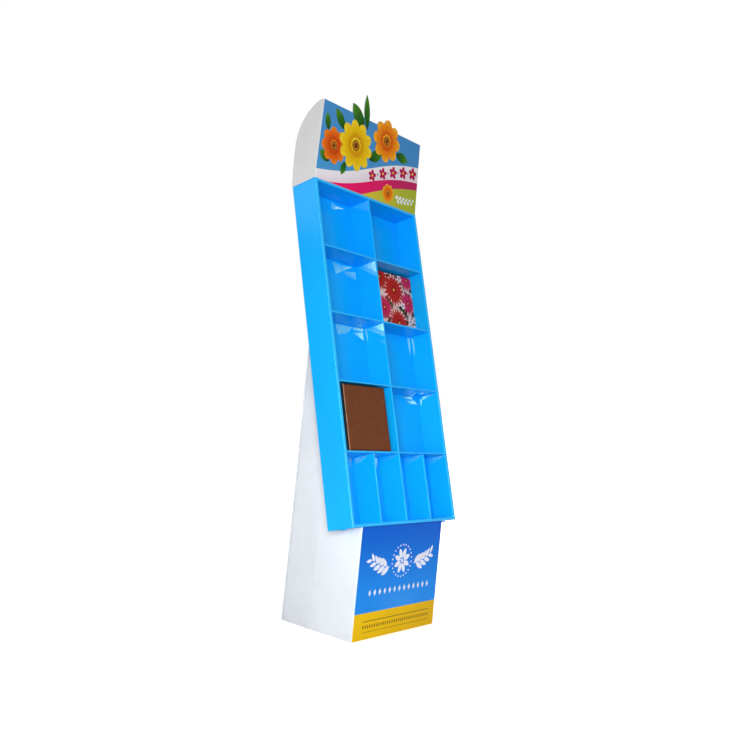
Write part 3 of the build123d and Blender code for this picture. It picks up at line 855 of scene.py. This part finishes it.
def base_ornament():
    """White ornament on the base's blue: a rosette in a ring, a spray to each side and a row of gems."""
    centre = (BASE_MIDDLE, ROSETTE_HEIGHT)
    rosette = ring_of(plate(pointed(31, 14.5, 10, 7)), "white_ink", 8)
    lay("base_rosette", rosette, "white_board", centre, 22.5)
    lay("rosette_heart", plate(disc(5)), "white_board", centre, ink="white_ink")
    lay("rosette_beads", ring_of(plate(disc(2.6, 12, 46)), "white_ink", 22), "white_board", centre)
    for side, way, turn in (("right", 1, 0), ("left", -1, 180)):
        spray = spray_of(plate(pointed(42, 16, 10)), "white_ink", count=9, length=90, arch=way * 26,
                         spread=0.62, shrink=0.4, stem=3)
        foot = (BASE_MIDDLE + way * 54, ROSETTE_HEIGHT - 12)
        lay(f"base_spray_{side}", spray, "white_board", foot, turn)
    reach = 138.0
    gems = row_of(plate(diamond(11, 19)), "white_ink", 13, BASE_MIDDLE - reach, BASE_MIDDLE + reach, 128.0)
    lay("base_gems", gems, "white_board")


def strip_ornament():
    """Ochre print on the yellow strip: two rules with a row of small leaves between them."""
    across = 158
    for n, (height, rise) in enumerate(((50, 1.1), (20, 0.6)), 1):
        rule = plate([(across, -rise), (across, rise), (-across, rise), (-across, -rise)])
        lay(f"strip_rule_{n}", rule, "white_board", (BASE_MIDDLE, height), ink="ochre_ink")
    reach = 154.0
    leaf = plate(pointed(11, 5, 8, -5.5))
    leaves = row_of(leaf, "ochre_ink", 31, BASE_MIDDLE - reach, BASE_MIDDLE + reach, 35.0)
    lay("strip_leaves", leaves, "white_board")


# Carton artwork

# Dark leaves: foot, length, width and turn
CARTON_LEAVES = (((16, 84), 46, 20, -62), ((54, 46), 40, 18, -150), ((88, 34), 36, 16, 100),
                 ((10, -16), 44, 18, -100), ((40, -40), 40, 17, -30), ((84, -40), 36, 16, 150),
                 ((-52, 14), 50, 20, -140), ((64, -66), 34, 15, -80))

# Flowers: centre, reach and layer, and each one's rings of petals: share of the reach and count
CARTON_FLOWERS = {"left_red": ((-74, 74), 46, 1), "left_crimson": ((-66, -26), 44, 1),
                  "red": ((-6, 40), 56, 8), "crimson": ((64, 4), 40, 8),
                  "low_red": ((2, -70), 50, 15), "high_crimson": ((70, 84), 38, 15)}
PETAL_RINGS = ((1.0, 20), (0.72, 16), (0.46, 11))

# Centres of the small pale blossoms and the layer they lie on
SMALL_BLOSSOMS = ((66, -58), (86, -78), (44, -88), (88, -52), (34, -8), (30, 84))
SMALL_LAYER = 22


def lay_on_carton(name, mesh, centre, turn=0, layer=0, ink=None):
    """Lays a flat mesh on the patterned carton's front, cut off at its edges with its cuts closed."""
    mesh.transform(Matrix.Translation((*centre, 0)) @ Matrix.Rotation(radians(turn), 4, "Z"))
    low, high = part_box("patterned_carton")
    half_width = (high.x - low.x) / 2 / MM - CARTON_MARGIN
    half_height = CARTON_HEIGHT / 2 / MM - CARTON_MARGIN
    shape = bmesh.new()
    shape.from_mesh(mesh)
    for side in ((half_width, 0, 0), (-half_width, 0, 0), (0, half_height, 0), (0, -half_height, 0)):
        whole = shape.verts[:] + shape.edges[:] + shape.faces[:]
        cut = bmesh.ops.bisect_plane(shape, geom=whole, plane_co=side, plane_no=side, clear_outer=True)
        edges = [part for part in cut["geom_cut"] if isinstance(part, bmesh.types.BMEdge)]
        bmesh.ops.holes_fill(shape, edges=edges, sides=0)
    shape.to_mesh(mesh)
    shape.free()
    lay(name, mesh, "patterned_print", layer=layer, ink=ink)


def carton_flowers():
    """Red and crimson flowers with many narrow petals, dark leaves and small pale blossoms."""
    for n, (foot, length, width, turn) in enumerate(CARTON_LEAVES, 1):
        lay_on_carton(f"carton_leaf_{n}", plate(pointed(length, width, 10)), foot, turn, ink="dark_leaf")
    for name, (centre, reach, layer) in CARTON_FLOWERS.items():
        for n, (share, count) in enumerate(PETAL_RINGS):
            petal = plate(pointed(reach * share, reach * 0.2, 10))
            ring = ring_of(petal, name.split("_")[-1] + "_petal", count, 0.17 * n, LAYER)
            lay_on_carton(f"carton_{name}_petals_{n + 1}", ring, centre, layer=layer + 2 * n)
        heart = plate(disc(reach * 0.08, 20))
        lay_on_carton(f"carton_{name}_heart", heart, centre, layer=layer + 6, ink="gold_ink")
    for n, centre in enumerate(SMALL_BLOSSOMS):
        ring = ring_of(plate(oval(2, 13, 9, 16)), "pale_petal", 5, 0.4 * n, LAYER)
        lay_on_carton(f"carton_small_blossom_{n + 1}", ring, centre, layer=SMALL_LAYER)
        heart = plate(disc(2.6, 14))
        lay_on_carton(f"carton_small_heart_{n + 1}", heart, centre, 0, SMALL_LAYER + 2, "magenta_ink")


# Painted glints on lifted film in the pockets

def pocket_face(kind, row, wall):
    """A pocket's face with its origin at the ceiling: its back, the wall at its right, or the ceiling."""
    across = wall * MM if kind == "wall" else 0
    up, outwards = {"back": ((0, 0, 1), (0, -1, 0)), "wall": ((0, 0, 1), (-1, 0, 0)),
                    "ceiling": ((0, -1, 0), (0, 0, -1))}[kind]
    return tray_plane((across, POCKET_DEPTH, pocket_ceiling(row)), up, outwards)


# Painted glints by pocket: its row from below, where its right wall is, and on each face the corners of each
# facet as across, up and glow
FACETS = {
    "pocket_1_left": (4, -2.7, {
        "back": (((-94, -4, 0.35), (-96, -29, 0.35), (-90, -28, 0.45), (-72, -12, 0.5)),
                 ((-88, -27, 0.75), (-34, -14, 1.0), (-71, -13, 0.9))),
        "wall": (((12, -6, 0.1), (74, -40, 0.2), (74, -3, 0.3)),)}),
    "pocket_2_left": (3, -2.7, {
        "back": (((-120, -4, 0.3), (-110, -42, 0.55), (-72, -25, 0.5), (-82, -10, 0.4)),
                 ((-80, -10, 0.4), (-70, -24, 0.55), (-27, -6, 0.85)),
                 ((-70, -27, 0.4), (-58, -42, 0.15), (-13, -45, 0.35), (-14, -20, 0.6))),
        "wall": (((22, -4, 0.3), (73, -38, 0.8), (73, -2, 0.9)),
                 ((8, -6, 0.2), (74, -54, 0.3), (74, -41, 0.5), (21, -6, 0.25))),
        "ceiling": (((-50, 4, 0.14), (-24, 4, 0.16), (-104, 68, 0.05)),)}),
    "pocket_3_left": (2, -2.7, {
        "back": (((-138, -3, 0.5), (-132, -34, 0.5), (-84, -25, 0.35), (-60, -3, 0.5)),
                 ((-58, -3, 0.5), (-56, -11, 0.6), (-10, -12, 0.8), (-8, -2, 0.9)),
                 ((-58, -20, 0.4), (-12, -40, 1.0), (-11, -15, 0.95))),
        "wall": (((30, -4, 0.3), (75, -28, 1.0), (75, -2, 1.0)),
                 ((12, -6, 0.3), (75, -44, 0.45), (75, -31, 0.6), (28, -6, 0.3)),
                 ((2, -2, 0.5), (9, -44, 0.7), (11, -3, 0.25)),
                 ((40, -46, 0.05), (74, -70, 0.15), (74, -56, 0.35))),
        "ceiling": (((-48, 3, 0.35), (-20, 3, 0.5), (-96, 66, 0.15)),
                    ((-20, 3, 0.5), (-76, 66, 0.3), (-96, 66, 0.15)),
                    ((-12, 5, 0.25), (-6, 5, 0.2), (-64, 70, 0.2)))}),
    "pocket_3_right": (2, 239, {
        "back": (((220, -4, 0.3), (228, -62, 1.0), (235, -4, 0.8)),),
        "wall": (((5, -5, 0.7), (9, -66, 0.9), (15, -8, 0.1)),)}),
    "pocket_4_right": (1, 239, {
        "back": (((150, -4, 0.2), (166, -10, 0.5), (208, -11, 1.0), (205, -2, 1.0)),
                 ((166, -18, 0.3), (196, -26, 0.8), (231, -25, 1.0), (216, -14, 1.0))),
        "wall": (((7, -10, 0.5), (10, -32, 1.0), (16, -11, 1.0)),
                 ((17, -4, 0.9), (20, -14, 0.7), (44, -9, 0.3), (74, -2, 0.2))),
        "ceiling": (((190, 4, 0.7), (208, 4, 1.0), (152, 62, 0.8)),
                    ((204, 26, 0.4), (190, 54, 1.0), (208, 48, 0.9)))}),
    "pocket_5_first": (0, -123.55, {
        "back": (((-144, -3, 0.6), (-140, -32, 0.4), (-128, -3, 0.3)),),
        "wall": (((4, -5, 0.5), (10, -26, 0.2), (60, -2, 0.3)),)}),
    "pocket_5_second": (0, -2.7, {
        "back": (((-27, -2, 0.9), (-24, -40, 0.5), (-13, -14, 0.8), (-12, -3, 1.0)),),
        "wall": (((16, -5, 0.15), (22, -16, 0.0), (74, -2, 0.35)),)}),
    "pocket_5_third": (0, 118.15, {"wall": (((4, -3, 0.2), (12, -28, 0.0), (74, -2, 0.4)),)}),
    "pocket_5_fourth": (0, 239, {"wall": (((4, -3, 0.2), (12, -28, 0.0), (74, -2, 0.4)),)}),
}


def painted_glint_facets():
    """Low bulges of lifted film under the pockets' ceilings, carrying painted glints that fade between their
    corners.
    """
    foot, crest = 0.1 * MM, 0.5 * MM
    for pocket, (row, wall, faces) in FACETS.items():
        shape = bmesh.new()
        glow = shape.loops.layers.float.new("glow")
        for face, corners in ((kind, facet) for kind, facets in faces.items() for facet in facets):
            plane = pocket_face(face, row, wall)
            rim = [shape.verts.new(plane @ Vector((x * MM, y * MM, foot))) for x, y, share in corners]
            x, y, share = (sum(values) / len(corners) for values in zip(*corners))
            top = shape.verts.new(plane @ Vector((x * MM, y * MM, crest)))
            shape.faces.new(rim[::-1])
            for n in range(len(corners)):
                slope = shape.faces.new((rim[n - 1], rim[n], top))
                for loop, value in zip(slope.loops, (corners[n - 1][2], corners[n][2], share)):
                    loop[glow] = value
        bmesh.ops.recalc_face_normals(shape, faces=shape.faces)
        mesh = bpy.data.meshes.new(f"{pocket}_painted_glint_film")
        shape.to_mesh(mesh)
        shape.free()
        mesh.materials.append(INKS["painted_glint_film"])
        add_piece(f"{pocket}_painted_glint_film", mesh)


# Flutes along the header's cut edge

# The straight stretches of the header's top edge, and how far its ends are from the middle
EDGE_END = (TRAY_HALF - HEADER_TAPER) / MM - 4
STRAIGHT_EDGES = ((-EDGE_END, -92), (-29, 6), (128, EDGE_END))


def header_flutes():
    """Fluting along the straight stretches of the header's top edge."""
    top = HEADER_EDGE.z + HEADER_HEIGHT
    middle = HEADER_FRONT + HEADER_BOARD / 2
    for n, (start, stop) in enumerate(STRAIGHT_EDGES, 1):
        sheet = grow(fluting, None, "cut_edge_paper", Length=float(stop - start), Pitch=4.6,
                     Height=HEADER_BOARD / MM / 2 - 0.45, Paper=0.28, Proud=0.3)
        edge = face_plane((start * MM, middle, top), (0, 1, 0), (0, 0, 1))
        sheet.transform(edge @ MM_SCALE)
        add_piece(f"header_flutes_{n}", sheet)


def dress_nodes():
    """Gives each node of the model the material of its slot."""
    for part in frame["record"]["subparts"]:
        piece = frame["nodes"][part["node"]]
        piece.data.materials.clear()
        piece.data.materials.append(MATERIALS[part["material_slot"]])


# Light, floor and camera

# The photograph's camera, fitted to the stand's edges: its place, its turn in degrees, lens and sensor
CAMERA_PLACE = (-2.0821, BASE_FRONT - 1.5054, 0.6660)
CAMERA_TURN = (92.181, -5.601, -50.771)
CAMERA_LENS = 43.23
CAMERA_SENSOR = 36

# How strongly the sky lights the stand, where the camera sees it at 1, and the floor's radius
SKY_LIGHT = 0.38
FLOOR_RADIUS = 40

# Lamps: place, aim, width, height, power and spread in degrees. The key lights the left and front. The rest
# add glints, fill the far side, brighten the foot and lay a sheen on the tray's left side.
SOFTBOXES = {
    "key_light": ((-2.45, -1.91, 1.2), (0, 0, 0.65), 1.2, 1.1, 66, 180),
    "glint_light": ((-2.15, -1.75, 1.0), (0, 0, 0.8), 0.22, 0.22, 4, 180),
    "side_light": ((2.9, 0.5, 1.3), (0, 0, 0.8), 1.2, 1.2, 20, 180),
    "low_light": ((-2.2, -1.7, 0.5), (0.16, -0.2, 0.38), 0.5, 0.4, 0.5, 24),
    "sheen_light": ((-1.75, 1.6, 1.84), (-0.25, 0.1, 1.2), 0.9, 0.6, 0.5, 60),
}


def light_the_stand():
    """Soft studio light from rectangular lamps."""
    for name, (place, aim, width, height, power, spread) in SOFTBOXES.items():
        lamp = bpy.data.lights.new(name, "AREA")
        lamp.shape = "RECTANGLE"
        lamp.size = width
        lamp.size_y = height
        lamp.energy = power
        lamp.spread = radians(spread)
        holder = new_object(name, lamp)
        holder.location = place
        holder.rotation_euler = (Vector(aim) - Vector(place)).to_track_quat("-Z", "Y").to_euler()


def light_the_world():
    """An even sky that the camera sees as white."""
    world = bpy.data.worlds.new("studio")
    world.use_nodes = True
    tree = world.node_tree
    tree.nodes.clear()
    strength = add(tree, "ShaderNodeLightPath", output="Is Camera Ray") * (1 - SKY_LIGHT) + SKY_LIGHT
    background = add(tree, "ShaderNodeBackground", {"Color": (1, 1, 1, 1), "Strength": strength})
    add(tree, "ShaderNodeOutputWorld", {"Surface": background})
    bpy.context.scene.world = world


def lay_floor():
    """A pale round floor that keeps the stand's shadow and fades into the white around it."""
    mesh = bpy.data.meshes.new("floor")
    shape = bmesh.new()
    bmesh.ops.create_circle(shape, cap_ends=True, segments=96, radius=FLOOR_RADIUS)
    shape.to_mesh(mesh)
    shape.free()
    floor = new_object("floor", mesh)
    material = bpy.data.materials.new("pale_floor")
    material.use_nodes = True
    tree = material.node_tree
    tree.nodes.clear()
    vector = add(tree, "ShaderNodeTexCoord", output="Object")
    distance = add(tree, "ShaderNodeVectorMath", {0: vector}, "Value", operation="LENGTH")
    rays = all_outputs(add(tree, "ShaderNodeLightPath"))
    seen = larger(rays["Is Camera Ray"], rays["Is Glossy Ray"])
    glow = seen * step(distance, 0.15, 0.8, 0.45, 1.0)
    shade = blend(rays["Is Camera Ray"], rgb(206, 208, 212), rgb(246, 246, 246))
    paint = add(tree, "ShaderNodeBsdfDiffuse", {"Color": shade})
    white = add(tree, "ShaderNodeEmission", {"Color": (1, 1, 1, 1), "Strength": glow})
    both = add(tree, "ShaderNodeAddShader", {0: paint, 1: white})
    add(tree, "ShaderNodeOutputMaterial", {"Surface": both})
    mesh.materials.append(material)


def set_camera():
    """The photograph's view, from the stand's front left at chest height."""
    data = bpy.data.cameras.new("camera")
    data.sensor_width = CAMERA_SENSOR
    data.lens = CAMERA_LENS
    camera = new_object("camera", data)
    camera.location = CAMERA_PLACE
    camera.rotation_euler = [radians(turn) for turn in CAMERA_TURN]
    bpy.context.scene.camera = camera


dress_nodes()
header_leaves()
header_blossoms()
header_florets()
base_ornament()
strip_ornament()
carton_flowers()
painted_glint_facets()
header_flutes()
light_the_world()
light_the_stand()
lay_floor()
set_camera()
bpy.context.scene.view_settings.view_transform = "Standard"
